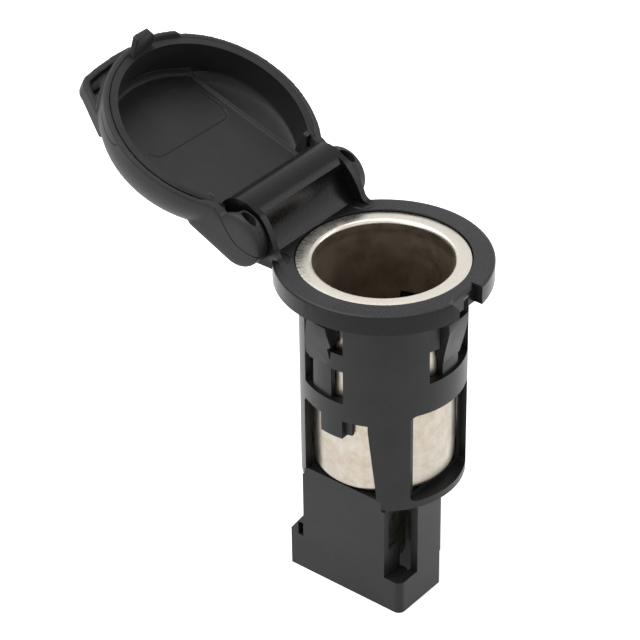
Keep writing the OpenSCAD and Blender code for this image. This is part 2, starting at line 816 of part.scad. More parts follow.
module positive_terminal() {
    color([0.72, 0.66, 0.5])
    difference() {
        union() {
            translate([0, 0, strip_z]) cylinder(r = 3.3, h = strip_t);
            box(blade_x - 2, 0, positive_y - blade_t / 2, 2.9, strip_z, insulator_z);
            blade(positive_y, insulator_z);
        }
        translate([0, 0, strip_z - 1]) cylinder(r = shank_r + seat_gap, h = 3);
    }
}

module clamp_washer() {
    color([0.66, 0.66, 0.67])
    tube(2.8, shank_r + seat_gap, clamp_z, strip_z);
}

module ground_terminal() {
    color([0.72, 0.66, 0.5])
    difference() {
        union() {
            box(blade_x - 3, blade_x + 0.9, ground_y - blade_t / 2, ground_y + 3, ground_strip_z, shell_bottom);
            blade(ground_y, shell_bottom);
        }
        translate([ground_rivet_xy[0], ground_rivet_xy[1], ground_strip_z - 1])
            cylinder(r = 0.8 + seat_gap, h = 3, $fn = 32);
    }
}

module ground_rivet() {
    color([0.66, 0.66, 0.67])
    translate([ground_rivet_xy[0], ground_rivet_xy[1], 0]) {
        translate([0, 0, ground_strip_z - 0.4]) cylinder(r = 1.2, h = 0.4, $fn = 32);
        translate([0, 0, ground_strip_z - eps]) cylinder(r = 0.8, h = strip_t + shell_t + 2 * eps, $fn = 32);
        translate([0, 0, shell_floor]) cylinder(r = 1.2, h = 0.4, $fn = 32);
    }
}

bezel();
lid_liner();
lid_cover();
hinge_pin();
housing();
socket_shell();
contact_rivet();
contact_bush();
insulating_washer();
positive_terminal();
clamp_washer();
ground_terminal();
ground_rivet();
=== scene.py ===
"""Looks for a car power socket with a hinged lid: its skins, finishes, stage and camera."""
import json
from math import cos, degrees, radians, sin

import bmesh
import bpy
import numpy as np
from mathutils import Matrix, Vector

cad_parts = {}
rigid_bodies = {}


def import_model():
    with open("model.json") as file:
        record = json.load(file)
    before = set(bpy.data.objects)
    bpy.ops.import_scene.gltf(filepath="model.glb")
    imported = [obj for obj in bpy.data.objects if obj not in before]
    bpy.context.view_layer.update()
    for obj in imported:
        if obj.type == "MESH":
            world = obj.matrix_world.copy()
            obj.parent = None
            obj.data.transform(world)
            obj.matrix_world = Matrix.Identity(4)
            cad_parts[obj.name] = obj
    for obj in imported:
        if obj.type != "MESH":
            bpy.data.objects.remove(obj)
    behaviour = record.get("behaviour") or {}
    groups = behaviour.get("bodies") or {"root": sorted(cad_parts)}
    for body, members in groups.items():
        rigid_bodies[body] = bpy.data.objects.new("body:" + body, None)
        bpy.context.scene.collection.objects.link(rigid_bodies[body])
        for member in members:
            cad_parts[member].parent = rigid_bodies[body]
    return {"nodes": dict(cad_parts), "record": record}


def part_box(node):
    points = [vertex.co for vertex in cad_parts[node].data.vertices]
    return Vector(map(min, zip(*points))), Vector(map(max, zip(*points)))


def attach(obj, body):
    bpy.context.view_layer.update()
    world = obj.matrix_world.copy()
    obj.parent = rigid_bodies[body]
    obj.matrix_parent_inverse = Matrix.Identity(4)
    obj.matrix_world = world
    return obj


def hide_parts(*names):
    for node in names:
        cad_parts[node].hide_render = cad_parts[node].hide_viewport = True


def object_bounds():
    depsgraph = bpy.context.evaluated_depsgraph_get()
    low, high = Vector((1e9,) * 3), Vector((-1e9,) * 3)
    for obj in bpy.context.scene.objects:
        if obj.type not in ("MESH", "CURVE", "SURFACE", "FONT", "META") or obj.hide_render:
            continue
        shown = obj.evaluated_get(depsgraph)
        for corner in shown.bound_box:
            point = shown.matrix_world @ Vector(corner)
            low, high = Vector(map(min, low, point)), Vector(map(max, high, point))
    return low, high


for leftover in list(bpy.data.objects):
    bpy.data.objects.remove(leftover)
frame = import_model()
CAD_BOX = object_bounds()
NODES = frame["nodes"]
HINGE = next(joint for joint in frame["record"]["behaviour"]["joints"] if joint["name"] == "lid_hinge")
BORE = next(mount for mount in frame["record"]["mounts"] if mount["name"] == "socket_bore")

bl_info = {
    "name": "Car power socket",
    "version": (1, 0, 0),
    "blender": (4, 5, 0),
    "location": "View3D > Sidebar > Socket",
    "description": "Skins, finishes and stage for a car power socket with a hinged lid",
    "category": "Object",
}

MM = 0.001
SHARP_ANGLE = radians(32)


# Sizes and finishes

class SocketSizes(bpy.types.PropertyGroup):
    bore_radius: bpy.props.FloatProperty(
        name="Bore radius", description="Inner radius of the socket shell",
        default=BORE["dims"]["r_mm"] * MM, unit="LENGTH", precision=5)
    sheet: bpy.props.FloatProperty(
        name="Sheet", description="Sheet thickness of the socket shell",
        default=0.00055, unit="LENGTH", precision=5)
    rim_radius: bpy.props.FloatProperty(
        name="Rim radius", description="Outer radius of the flared rim",
        default=0.0133, unit="LENGTH", precision=5)
    rim_roll: bpy.props.FloatProperty(
        name="Rim roll", description="Radius where the rim turns down into the bore",
        default=0.0006, unit="LENGTH", precision=5)
    floor_corner: bpy.props.FloatProperty(
        name="Floor corner", description="Outside radius between the shell's wall and floor",
        default=0.0011, unit="LENGTH", precision=5)
    nose_height: bpy.props.FloatProperty(
        name="Nose height", description="Height of the shell's narrowing nose",
        default=0.003, unit="LENGTH", precision=5)
    nose_draft: bpy.props.FloatProperty(
        name="Nose draft", description="How far the nose narrows in radius",
        default=0.00015, unit="LENGTH", precision=5)
    window_top: bpy.props.FloatProperty(
        name="Window top", description="Height of the punched window's upper edge",
        default=-0.0097, unit="LENGTH", precision=5)
    window_height: bpy.props.FloatProperty(
        name="Window height", description="Height of the punched window",
        default=0.004, unit="LENGTH", precision=5)
    window_angle: bpy.props.FloatProperty(
        name="Window angle", description="Direction of the punched window's middle",
        default=radians(10), subtype="ANGLE")
    window_span: bpy.props.FloatProperty(
        name="Window span", description="Angle that the punched window takes up",
        default=radians(27.5), subtype="ANGLE")
    moulded_edge: bpy.props.FloatProperty(
        name="Moulded edge", description="Rounding of the moulded edges",
        default=0.00014, unit="LENGTH", precision=5)
    skin_grain: bpy.props.FloatProperty(
        name="Skin mesh", description="Mesh size of the lid's soft skin",
        default=0.0002, unit="LENGTH", precision=5)
    bead: bpy.props.FloatProperty(
        name="Bead", description="Height of the beads along the lid's floor",
        default=0.0004, unit="LENGTH", precision=5)
    groove: bpy.props.FloatProperty(
        name="Groove", description="Radius of the fine grooves in the lid",
        default=0.00014, unit="LENGTH", precision=5)
    foot_lip: bpy.props.FloatProperty(
        name="Foot lip", description="Radius of the lip along each rib's foot",
        default=0.00027, unit="LENGTH", precision=5)
    lid_open: bpy.props.FloatProperty(
        name="Lid opening", description="How far the lid stands open at rest",
        default=radians(HINGE["range_deg"][1]), subtype="ANGLE")


class SocketFinishes(bpy.types.PropertyGroup):
    lid: bpy.props.FloatVectorProperty(
        name="Lid", description="Colour of the lid's soft skin", subtype="COLOR",
        default=(0.027, 0.027, 0.028))
    cup: bpy.props.FloatVectorProperty(
        name="Cup", description="Colour inside the lid", subtype="COLOR",
        default=(0.021, 0.021, 0.022))
    ring: bpy.props.FloatVectorProperty(
        name="Ring", description="Colour of the bezel", subtype="COLOR",
        default=(0.0065, 0.0065, 0.007))
    barrel: bpy.props.FloatVectorProperty(
        name="Barrel", description="Colour of the barrel and connector", subtype="COLOR",
        default=(0.0165, 0.0165, 0.017))
    nickel: bpy.props.FloatVectorProperty(
        name="Nickel", description="Colour of the bright plating", subtype="COLOR",
        default=(0.66, 0.62, 0.55))
    bore: bpy.props.FloatVectorProperty(
        name="Bore", description="Colour of the dulled plating in the bore", subtype="COLOR",
        default=(0.32, 0.265, 0.205))
    brass: bpy.props.FloatVectorProperty(
        name="Brass", description="Colour of the contacts", subtype="COLOR",
        default=(0.78, 0.62, 0.33))
    tinned: bpy.props.FloatVectorProperty(
        name="Tinned brass", description="Colour of the two terminals", subtype="COLOR",
        default=(0.74, 0.70, 0.60))
    steel: bpy.props.FloatVectorProperty(
        name="Steel", description="Colour of the pin, the rivet and the clamp washer", subtype="COLOR",
        default=(0.56, 0.56, 0.56))
    fibre: bpy.props.FloatVectorProperty(
        name="Fibre", description="Colour of the insulators", subtype="COLOR",
        default=(0.10, 0.05, 0.025))
    floor: bpy.props.FloatVectorProperty(
        name="Floor", description="Colour of the studio floor", subtype="COLOR",
        default=(0.9, 0.9, 0.9))


# Mesh helpers

def put_mesh(name, points, faces, smooth=True):
    """Makes an object from points in mm and lists of faces."""
    mesh = bpy.data.meshes.new(name)
    mesh.from_pydata((np.asarray(points, float) * MM).tolist(), [], [list(map(int, f)) for f in faces])
    mesh.validate()
    mesh.update()
    if smooth:
        mesh.shade_smooth()
    made = bpy.data.objects.new(name, mesh)
    bpy.context.scene.collection.objects.link(made)
    return made


def grid_faces(rows, columns, wrap_rows=False, wrap_columns=False):
    """The quads of a grid of points, as index numbers, with either direction closed on itself."""
    r = np.arange(rows if wrap_rows else rows - 1)[:, None]
    c = np.arange(columns if wrap_columns else columns - 1)[None]
    r1, c1 = (r + 1) % rows, (c + 1) % columns
    quads = np.stack([r * columns + c, r * columns + c1, r1 * columns + c1, r1 * columns + c], -1)
    return quads.reshape(-1, 4)


def arc(cx, cy, radius, start, end, count):
    """Points on a circle about (cx, cy) from one angle to another, in degrees."""
    a = np.radians(np.linspace(start, end, count))
    return np.stack([cx + radius * np.cos(a), cy + radius * np.sin(a)], 1)


def face_outwards(made):
    """Turns every face of a closed mesh outwards."""
    bm = bmesh.new()
    bm.from_mesh(made.data)
    bmesh.ops.recalc_face_normals(bm, faces=bm.faces)
    bm.to_mesh(made.data)
    bm.free()


def welded_copy(node, name):
    """A copy of a CAD node's mesh with its loose triangles joined and its flat faces made whole."""
    same_place, same_plane = 0.002 * MM, radians(0.6)
    mesh = NODES[node].data.copy()
    mesh.name = name
    bm = bmesh.new()
    bm.from_mesh(mesh)
    bmesh.ops.remove_doubles(bm, verts=bm.verts, dist=same_place)
    bmesh.ops.dissolve_limit(bm, angle_limit=same_plane, verts=bm.verts, edges=bm.edges)
    bm.to_mesh(mesh)
    bm.free()
    made = bpy.data.objects.new(name, mesh)
    bpy.context.scene.collection.objects.link(made)
    return made


def soften_shading(made, angle):
    """Smooth shading with the edges above this angle left sharp."""
    made.data.shade_smooth()
    made.data.set_sharp_from_angle(angle=angle)


def bevelled_copy(node, name, width):
    """A joined copy of a CAD node with its sharp edges rounded."""
    made = welded_copy(node, name)
    if "custom_normal" in made.data.attributes:
        made.data.attributes.remove(made.data.attributes["custom_normal"])
    soften_shading(made, SHARP_ANGLE)
    round_edges = made.modifiers.new("rounded edges", "BEVEL")
    round_edges.width = width
    round_edges.segments = 2
    round_edges.limit_method = "ANGLE"
    round_edges.angle_limit = SHARP_ANGLE
    round_edges.miter_outer = "MITER_ARC"
    round_edges.use_clamp_overlap = True
    round_edges.harden_normals = True
    return made


def settle(made):
    """Makes a piece's modifiers part of its mesh."""
    graph = bpy.context.evaluated_depsgraph_get()
    mesh = bpy.data.meshes.new_from_object(made.evaluated_get(graph))
    made.modifiers.clear()
    made.data = mesh


def work_in(made, other, operation):
    """Cuts one closed solid out of a piece, or joins it on, and takes it away."""
    before = len(made.data.vertices)
    step = made.modifiers.new("work", "BOOLEAN")
    step.operation = operation
    step.object = other
    step.solver = "MANIFOLD"
    settle(made)
    bpy.data.objects.remove(other)
    if len(made.data.vertices) == before:
        raise RuntimeError("a solid left " + made.name + " as it was")


def slab(name, lower, upper):
    """A closed solid between two grids of the same size: both skins, and walls along the four sides."""
    rows, columns = lower.shape[:2]
    total = rows * columns
    index = np.arange(total).reshape(rows, columns)
    skin = grid_faces(rows, columns)
    rim = np.concatenate([index[0, :-1], index[:-1, -1], index[-1, :0:-1], index[:0:-1, 0]])
    after = np.roll(rim, -1)
    walls = np.stack([rim, after, after + total, rim + total], 1)
    made = put_mesh(name, np.concatenate([lower.reshape(-1, 3), upper.reshape(-1, 3)]),
                    np.concatenate([skin[:, ::-1], skin + total, walls]))
    face_outwards(made)
    return made


def capped(name, rings):
    """A closed solid from rings of points, rows by columns, with a flat cap on each end."""
    rows, columns = rings.shape[:2]
    faces = grid_faces(rows, columns, False, True).tolist()
    faces.append(list(range(columns)))
    faces.append(list(range((rows - 1) * columns, rows * columns)))
    made = put_mesh(name, rings.reshape(-1, 3), faces)
    face_outwards(made)
    return made


def eased(points, count):
    """A smooth path through a few points.

    Between each two runs a cubic, and its slope at a point is that between the points beside it.
    """
    p = np.asarray(points, float)
    slope = np.gradient(p, axis=0)
    at = np.linspace(0, len(p) - 1, count)
    k = np.minimum(at.astype(int), len(p) - 2)
    u = (at - k)[:, None]
    return ((2 * u**3 - 3 * u**2 + 1) * p[k] + (u**3 - 2 * u**2 + u) * slope[k]
            + (3 * u**2 - 2 * u**3) * p[k + 1] + (u**3 - u**2) * slope[k + 1])


def bead_along(name, path, radius):
    """A round bead along a path: a circle of eight points square to the path at each of its points."""
    path = np.asarray(path, float)
    along = np.gradient(path, axis=0)
    along /= np.linalg.norm(along, axis=1)[:, None]
    never_along = (0.31, 0.17, 0.93)
    side = np.cross(along, never_along)
    side /= np.linalg.norm(side, axis=1)[:, None]
    across = np.cross(along, side)
    turn = np.radians(np.arange(8) * 45.0)
    rings = (path[:, None] + radius * (side[:, None] * np.cos(turn)[None, :, None]
                                       + across[:, None] * np.sin(turn)[None, :, None]))
    return capped(name, rings)


# The lid's own forms, worked out with the lid shut, in mm

HINGE_Y, HINGE_Z = HINGE["pos_m"][1] / MM, HINGE["pos_m"][2] / MM
LID_RIM_Z = 3.5
CUP_RADIUS = 15.44
CUP_REAR = 11.2
WALL_FOOT_Z = 8.1
FLOOR_TIP_Y, FLOOR_TIP_Z, FLOOR_FALL = -12.5, 10.5, 2.6 / 22.2
BEAD_X, BEAD_SPREAD, BEAD_ROOM = 10.42, 3.5 / 60, 0.8
PANEL_LEFT, PANEL_RIGHT, PANEL_FRONT, PANEL_REAR, PANEL_CORNER = -9.2, 8.6, -17.0, -1.5, 2.2
EAR_IN, EAR_OUT, EAR_RADIUS = 10.95, 13.4, 4.4
EAR_FRONT_Y = 9.5


def opened(points, angle):
    """Points of the shut lid, turned about the hinge to the lid's rest pose."""
    turned = np.array(points, float)
    y, z = turned[..., 1] - HINGE_Y, turned[..., 2] - HINGE_Z
    turned[..., 1] = HINGE_Y + y * cos(angle) + z * sin(angle)
    turned[..., 2] = HINGE_Z - y * sin(angle) + z * cos(angle)
    return turned


def mirrored(points, side):
    """The same points on the other side of the lid where side is 1: x changes its sign."""
    return np.asarray(points, float) * (-side, 1, 1)


def ease(value):
    """A soft step from 0 to 1."""
    t = np.clip(value, 0, 1)
    return t * t * (3 - 2 * t)


def bead_line(y):
    """Distance of a floor bead from the middle at each y: the two draw together towards the latch."""
    return BEAD_X + BEAD_SPREAD * y


def cup_plan(radius, rear, rows):
    """Points over the cup's plan: rows from the latch to the rear, columns packed where the beads run."""
    first, last = 0.03, np.arccos(-rear / radius)
    y = -radius * np.cos(np.linspace(first, last, rows))
    half = np.sqrt(radius**2 - y**2)
    bead = bead_line(y)
    wide = np.maximum(half, bead + BEAD_ROOM + 0.2)
    inner = np.linspace(0, 1, 30)
    middle = np.linspace(-BEAD_ROOM, BEAD_ROOM, 17)[1:]
    outer = np.linspace(0, 1, 22)[1:]
    right = np.concatenate([
        inner * (bead - BEAD_ROOM)[:, None],
        bead[:, None] + middle,
        (bead + BEAD_ROOM)[:, None] + (wide - bead - BEAD_ROOM)[:, None] * outer], 1)
    right *= (half / wide)[:, None]
    x = np.concatenate([-right[:, :0:-1], right], 1)
    return x, np.broadcast_to(y[:, None], x.shape)


def floor_plane(y):
    """Height of the floor's plane, which falls from the latch to the hinge."""
    return FLOOR_TIP_Z - (y - FLOOR_TIP_Y) * FLOOR_FALL


def under_dome(reach, y):
    """Height under the dome: level in the middle, then down a quarter circle, and all leaning along y."""
    level, curve, lean, middle_z = 9.7, 6.92, 0.0454, 12.27
    over = np.clip(reach - level, 0, curve - 0.02)
    return middle_z - lean * y - (curve - np.sqrt(curve**2 - over**2))


def lower_of(first, second, soft):
    """The lower of two heights, joined by a parabola where they differ by less than the soft width."""
    share = np.clip(0.5 + (first - second) / (2 * soft), 0, 1)
    return first + (second - first) * share - soft * share * (1 - share)


def trough(past, room, plane, dome, floor):
    """Height outside a bead: a quarter of an ellipse between the floor and the foot of the wall."""
    narrow, wide, lift = 0.3, 3.8, 0.7
    part = np.clip(past / room, 0, 1)
    above = np.maximum(floor, WALL_FOOT_Z) - WALL_FOOT_Z
    foot = WALL_FOOT_Z + above * ease(1 - (room - narrow) / (wide - narrow))
    deep = np.maximum(np.minimum(plane + lift, dome), foot + 0.05)
    return deep - (deep - foot) * (1 - np.sqrt(1 - part**2))


def inside_panel(x, y):
    """Distance inside the outline of the floor's panel, a rectangle with round corners."""
    half_x, half_y = (PANEL_RIGHT - PANEL_LEFT) / 2, (PANEL_REAR - PANEL_FRONT) / 2
    dx = np.abs(x - (PANEL_LEFT + PANEL_RIGHT) / 2) - (half_x - PANEL_CORNER)
    dy = np.abs(y - (PANEL_FRONT + PANEL_REAR) / 2) - (half_y - PANEL_CORNER)
    return PANEL_CORNER - np.hypot(np.maximum(dx, 0), np.maximum(dy, 0)) - np.minimum(np.maximum(dx, dy), 0)


def cup_floor(x, y, bead_height):
    """Height of the cup's floor over its plan.

    A plane falls to the hinge between two beads. Outside each bead a trough curves to the wall like a quarter
    of an ellipse. The dome caps the depth near the latch, and the floor turns into the wall with a fillet. A
    panel with round corners lies a little deeper.
    """
    left_out, left_low = 1.2, 0.4
    bead_width, trough_width, panel_depth, panel_edge, fillet = 0.3, 0.7, 0.1, 0.3, 0.4
    reach = np.minimum(np.hypot(x, y), CUP_RADIUS)
    plane, dome = floor_plane(y), under_dome(reach, y)
    floor = lower_of(dome, plane, 0.3)
    line = bead_line(y) + np.where(x < 0, left_out, 0)
    past = np.abs(x) - line
    wall_x = np.sqrt(np.maximum(CUP_RADIUS**2 - y**2, 0.01))
    room = np.maximum(wall_x - line, 0.3)
    floor = floor + (trough(past, room, plane, dome, floor) - floor) * ease(past / trough_width)
    floor -= bead_height * np.exp(-(past / bead_width) ** 2) * np.where(x < 0, left_low, 1)
    floor += panel_depth * ease(inside_panel(x, y) / panel_edge)
    from_wall = np.clip(CUP_RADIUS - reach, 0, fillet)
    turned_up = fillet - np.sqrt(np.maximum(fillet**2 - (fillet - from_wall) ** 2, 0))
    return floor - np.where(past < 0, turned_up, 0)


def cup_back(x, y, floor):
    """Height of the joined floor's back: a thin wall over the floor, and a little way into the CAD's own."""
    wall, into, foot_radius, slope, ceiling = 0.45, 0.3, 15.42, 2.2 / 4.2, 10.3
    reach = np.minimum(np.hypot(x, y), CUP_RADIUS)
    rising = WALL_FOOT_Z + (foot_radius - reach) * slope
    behind = np.where(np.abs(x) > bead_line(y), rising, np.minimum(floor_plane(y), rising))
    return np.maximum(floor + wall, np.minimum(behind, ceiling) + into)


def panel_outline():
    """The panel's outline in x and y without its front edge, from the left end round to the right end."""
    left, right, rear = PANEL_LEFT + PANEL_CORNER, PANEL_RIGHT - PANEL_CORNER, PANEL_REAR - PANEL_CORNER
    return np.concatenate([
        [[PANEL_LEFT, -11.6], [PANEL_LEFT, -6]],
        arc(left, rear, PANEL_CORNER, 180, 90, 9),
        [[-4, PANEL_REAR], [0, PANEL_REAR], [4, PANEL_REAR]],
        arc(right, rear, PANEL_CORNER, 90, 0, 9),
        [[PANEL_RIGHT, -6], [PANEL_RIGHT, -11.6]]])


def ear_bulb(name, side, angle):
    """One hinge ear as a smooth drop.

    Its outline is a circle about the hinge that runs on into two straight edges towards the dome. Outwards
    the outline shrinks to its middle line as a superellipse of the fifth power.
    """
    steps, bend_steps, bend_start = 14, 72, -153.5
    lower_y, middle_z, climb = 13.86, 6.9, 0.35
    shoulder_x, power = 12.25, 0.4
    lower = np.linspace(0, 1, steps)[:0:-1]
    bend = np.radians(np.linspace(bend_start, 90, bend_steps))
    upper = np.linspace(0, 1, steps)[1:]
    rim = np.concatenate([
        np.stack([lower_y + (EAR_FRONT_Y - lower_y) * lower, np.full(steps - 1, LID_RIM_Z)], 1),
        np.stack([HINGE_Y + EAR_RADIUS * np.cos(bend), HINGE_Z + EAR_RADIUS * np.sin(bend)], 1),
        np.stack([HINGE_Y + (EAR_FRONT_Y - HINGE_Y) * upper, HINGE_Z + EAR_RADIUS + climb * upper], 1)])
    share = np.concatenate([lower, np.zeros(bend_steps), upper])[:, None]
    middle = np.array([HINGE_Y, HINGE_Z]) + share * (np.array([EAR_FRONT_Y, middle_z]) - (HINGE_Y, HINGE_Z))
    turn = np.radians(np.linspace(0, 90, 26))
    shrink, rise = np.cos(turn) ** power, np.sin(turn) ** power
    shrink[-1] = 0.004
    yz = middle[None] + (rim - middle)[None] * shrink[:, None, None]
    x = shoulder_x + (EAR_OUT - shoulder_x) * rise
    rings = np.concatenate([np.broadcast_to(x[:, None, None], yz.shape[:2] + (1,)), yz], 2)
    root = np.concatenate([np.full(rim.shape[:1] + (1,), EAR_IN), rim], 1)[None]
    return capped(name, opened(mirrored(np.concatenate([root, rings]), side), angle))


def rib_space(name, side, angle):
    """The room beside an ear for the knuckle's rib: an arc from above, its top climbing to the hinge."""
    inner_x, under_z, arc_x, arc_y, arc_radius = 9.6, -1.0, 23.65, 15.4, 12.75
    y = np.linspace(10.42, 15.5, 24)
    out = arc_x - np.sqrt(arc_radius**2 - np.minimum(arc_y - y, 5.0) ** 2)
    top = np.interp(y, [10.5, 12.3, 13.3, 15.5], [4.2, 6.2, 8.3, 11.0])
    inner, under = np.full(y.shape, inner_x), np.full(y.shape, under_z)
    rings = np.stack([np.stack([inner, y, under], 1), np.stack([out, y, under], 1),
                      np.stack([out, y, top], 1), np.stack([inner, y, top], 1)], 1)
    return capped(name, opened(mirrored(rings, side), angle))


def pit(name, outline, low, high, side, angle):
    """A straight-sided solid that cuts a pit: an outline in x and y between two heights."""
    outline = np.asarray(outline, float)
    rings = np.stack([np.column_stack([outline, np.full(len(outline), z)]) for z in (low, high)])
    return capped(name, opened(mirrored(rings, side), angle))


def ear_cutters(groove, angle):
    """The solids cut out of both ears: the rib's room, an oval hole, a crescent slot and a seam."""
    turn = np.radians(np.arange(32) * 11.25)
    oval_x, oval_y, half_x, half_y, slant = 11.75, 17.5, 0.74, 1.5, 0.12
    across = oval_x + half_x * np.cos(turn) + slant * np.sin(turn)
    oval = np.stack([across, oval_y + half_y * np.sin(turn)], 1)
    slot = eased([(10.7, 12.7), (11.5, 13.05), (12.0, 13.9), (12.15, 14.9), (11.6, 15.5), (10.7, 15.6)], 24)
    seam = eased([(13.0, 12.2, 3.5), (13.2, 13.02, 3.66), (13.37, 14.15, 3.99), (13.39, 15.55, 4.73),
                  (13.39, 17.19, 5.45), (13.39, 18.64, 5.64), (13.38, 20.17, 5.4), (13.28, 21.45, 5.0),
                  (12.9, 21.95, 4.9), (12.3, 22.18, 5.05), (11.6, 22.2, 5.2), (10.9, 22.2, 5.3)], 90)
    for side in (1, -1):
        yield rib_space("rib space", side, angle)
        yield pit("oval hole", oval, -0.5, 2.9, side, angle)
        yield pit("crescent slot", slot, 0.5, 4.3, side, angle)
        yield bead_along("seam groove", opened(mirrored(seam, side), angle), groove)


def ear_end(name, side, angle):
    """The box round the outer end of a CAD ear, which the smooth bulb takes the place of."""
    inner_x, outer_x, low, high = 12.32, 14, -1, 12
    front, rear = 13.2, 24
    rings = [[[inner_x, y, low], [inner_x, y, high], [outer_x, y, high], [outer_x, y, low]]
             for y in (front, rear)]
    return capped(name, opened(mirrored(rings, side), angle))


def pocket_floor(name, angle):
    """Floor of the pocket behind the tab: a crescent in plan, its underside a shallow parabola along y."""
    half_width, root_y, depth, back_z = 9.0, -16.4, 2.5, 9.4
    x = np.linspace(-half_width, half_width, 40)[:, None] * np.ones(12)
    y = root_y - (depth - x**2 / 90) * np.linspace(0, 1, 12)
    under = np.stack([x, y, 8.15 + 0.35 * ((y + 17.6) / 1.4) ** 2], 2)
    return slab(name, opened(under, angle), opened(under * (1, 1, 0) + (0, 0, back_z), angle))


def pad_seam(name, side, groove, angle):
    """Cutter for the seam on the skin's side: it follows the skin's circle and sinks away from the rim."""
    skin_radius = 17.69
    yz = np.array([(-4.6, 3.3), (-4.9, 4.2), (-5.6, 4.9), (-6.8, 5.3), (-8.2, 5.4), (-9.8, 5.3),
                   (-11.2, 5.2)])
    x = np.sqrt(skin_radius**2 - yz[:, 0] ** 2)
    path = eased(np.column_stack([x, yz]), 60)
    return bead_along(name, opened(mirrored(path, side), angle), groove)


# Node helpers for the finishes

class Nodes:
    """A node tree, built up step by step."""

    def __init__(self, tree):
        self.tree = tree

    def link(self, source, target):
        self.tree.links.new(source, target)

    def spread(self, source, low, high, to_low, to_high):
        """Maps a value from one range to another, clamped."""
        mapped = self.tree.nodes.new("ShaderNodeMapRange")
        mapped.inputs["From Min"].default_value = low
        mapped.inputs["From Max"].default_value = high
        mapped.inputs["To Min"].default_value = to_low
        mapped.inputs["To Max"].default_value = to_high
        self.link(source, mapped.inputs["Value"])
        return mapped.outputs["Result"]

    def math(self, operation, first, second=None):
        """One arithmetic step on sockets or numbers."""
        step = self.tree.nodes.new("ShaderNodeMath")
        step.operation = operation
        for socket, value in zip(step.inputs, (first, second)):
            if value is None:
                continue
            if isinstance(value, (int, float)):
                socket.default_value = value
            else:
                self.link(value, socket)
        return step.outputs["Value"]

    def times(self, first, second):
        """The product of two sockets or numbers."""
        return self.math("MULTIPLY", first, second)

    def sees_backdrop(self):
        """1 for rays from the camera, off gloss and through glass, and 0 for the others."""
        rays = self.tree.nodes.new("ShaderNodeLightPath")
        indirect = self.math("MAXIMUM", rays.outputs["Is Glossy Ray"], rays.outputs["Is Transmission Ray"])
        return self.math("MAXIMUM", rays.outputs["Is Camera Ray"], indirect)


class Finish(Nodes):
    """A node material on Object coordinates."""

    def __init__(self, name, colour, roughness, metallic=0.0):
        self.material = bpy.data.materials.new(name)
        self.material.use_nodes = True
        super().__init__(self.material.node_tree)
        self.shader = self.tree.nodes["Principled BSDF"]
        self.colour = tuple(colour) + (1.0,)
        self.shader.inputs["Base Color"].default_value = self.colour
        self.shader.inputs["Roughness"].default_value = roughness
        self.shader.inputs["Metallic"].default_value = metallic
        self.place = self.tree.nodes.new("ShaderNodeTexCoord").outputs["Object"]
        self.normal = None

    def drive(self, name, source):
        """Links a socket to one of the shader's inputs."""
        self.link(source, self.shader.inputs[name])

    def axes(self):
        """The place's x, y and z as three sockets."""
        parts = self.tree.nodes.new("ShaderNodeSeparateXYZ")
        self.link(self.place, parts.inputs["Vector"])
        return parts.outputs["X"], parts.outputs["Y"], parts.outputs["Z"]

    def noise(self, scale, detail=3.0, roughness=0.5, stretch=(1, 1, 1)):
        """Noise with features about 1 / scale metres wide."""
        mapping = self.tree.nodes.new("ShaderNodeMapping")
        mapping.inputs["Scale"].default_value = stretch
        self.link(self.place, mapping.inputs["Vector"])
        texture = self.tree.nodes.new("ShaderNodeTexNoise")
        texture.inputs["Scale"].default_value = scale
        texture.inputs["Detail"].default_value = detail
        texture.inputs["Roughness"].default_value = roughness
        self.link(mapping.outputs["Vector"], texture.inputs["Vector"])
        return texture.outputs["Fac"]

    def blend(self, factor, first, second):
        """Mixes two colours, each a socket or a colour."""
        mix = self.tree.nodes.new("ShaderNodeMix")
        mix.data_type = "RGBA"
        self.link(factor, mix.inputs["Factor"])
        for socket, value in ((mix.inputs[6], first), (mix.inputs[7], second)):
            if isinstance(value, tuple):
                socket.default_value = value
            else:
                self.link(value, socket)
        return mix.outputs[2]

    def bump(self, height, distance, strength=1.0):
        """Adds relief of this depth in metres."""
        node = self.tree.nodes.new("ShaderNodeBump")
        node.inputs["Strength"].default_value = strength
        node.inputs["Distance"].default_value = distance
        self.link(height, node.inputs["Height"])
        if self.normal is not None:
            self.link(self.normal, node.inputs["Normal"])
        self.normal = node.outputs["Normal"]
        self.drive("Normal", self.normal)

    def tint(self, amount):
        """The base colour made darker or lighter by a factor."""
        return tuple(min(c * amount, 1.0) for c in self.colour[:3]) + (1.0,)

    def clouded(self, low, high):
        """The base colour between two tints, which soft clouds mix."""
        return self.blend(self.spread(self.noise(180, 3), 0.3, 0.7, 0, 1), self.tint(low), self.tint(high))


def moulded(name, colour, roughness, grain, relief, gloss, cloud):
    """Moulded plastic: fine spark grain, a faint cloudiness and a roughness that wanders."""
    made = Finish(name, colour, roughness)
    made.shader.inputs["Specular IOR Level"].default_value = gloss
    made.drive("Base Color", made.clouded(1 - cloud, 1 + cloud))
    fine = made.noise(grain, 2, 0.6)
    made.drive("Roughness", made.spread(fine, 0.25, 0.75, roughness - 0.06, roughness + 0.08))
    made.bump(fine, relief)
    return made


def soft_skin(name, colour):
    """Soft-touch skin of the lid: very fine grain and a dull sheen."""
    made = moulded(name, colour, roughness=0.5, grain=7000, relief=0.000012, gloss=0.22, cloud=0.12)
    return made.material


def cup_plastic(name, colour):
    """Hard matte plastic inside the lid, with a coarser grain."""
    made = moulded(name, colour, roughness=0.45, grain=5200, relief=0.00002, gloss=0.2, cloud=0.15)
    return made.material


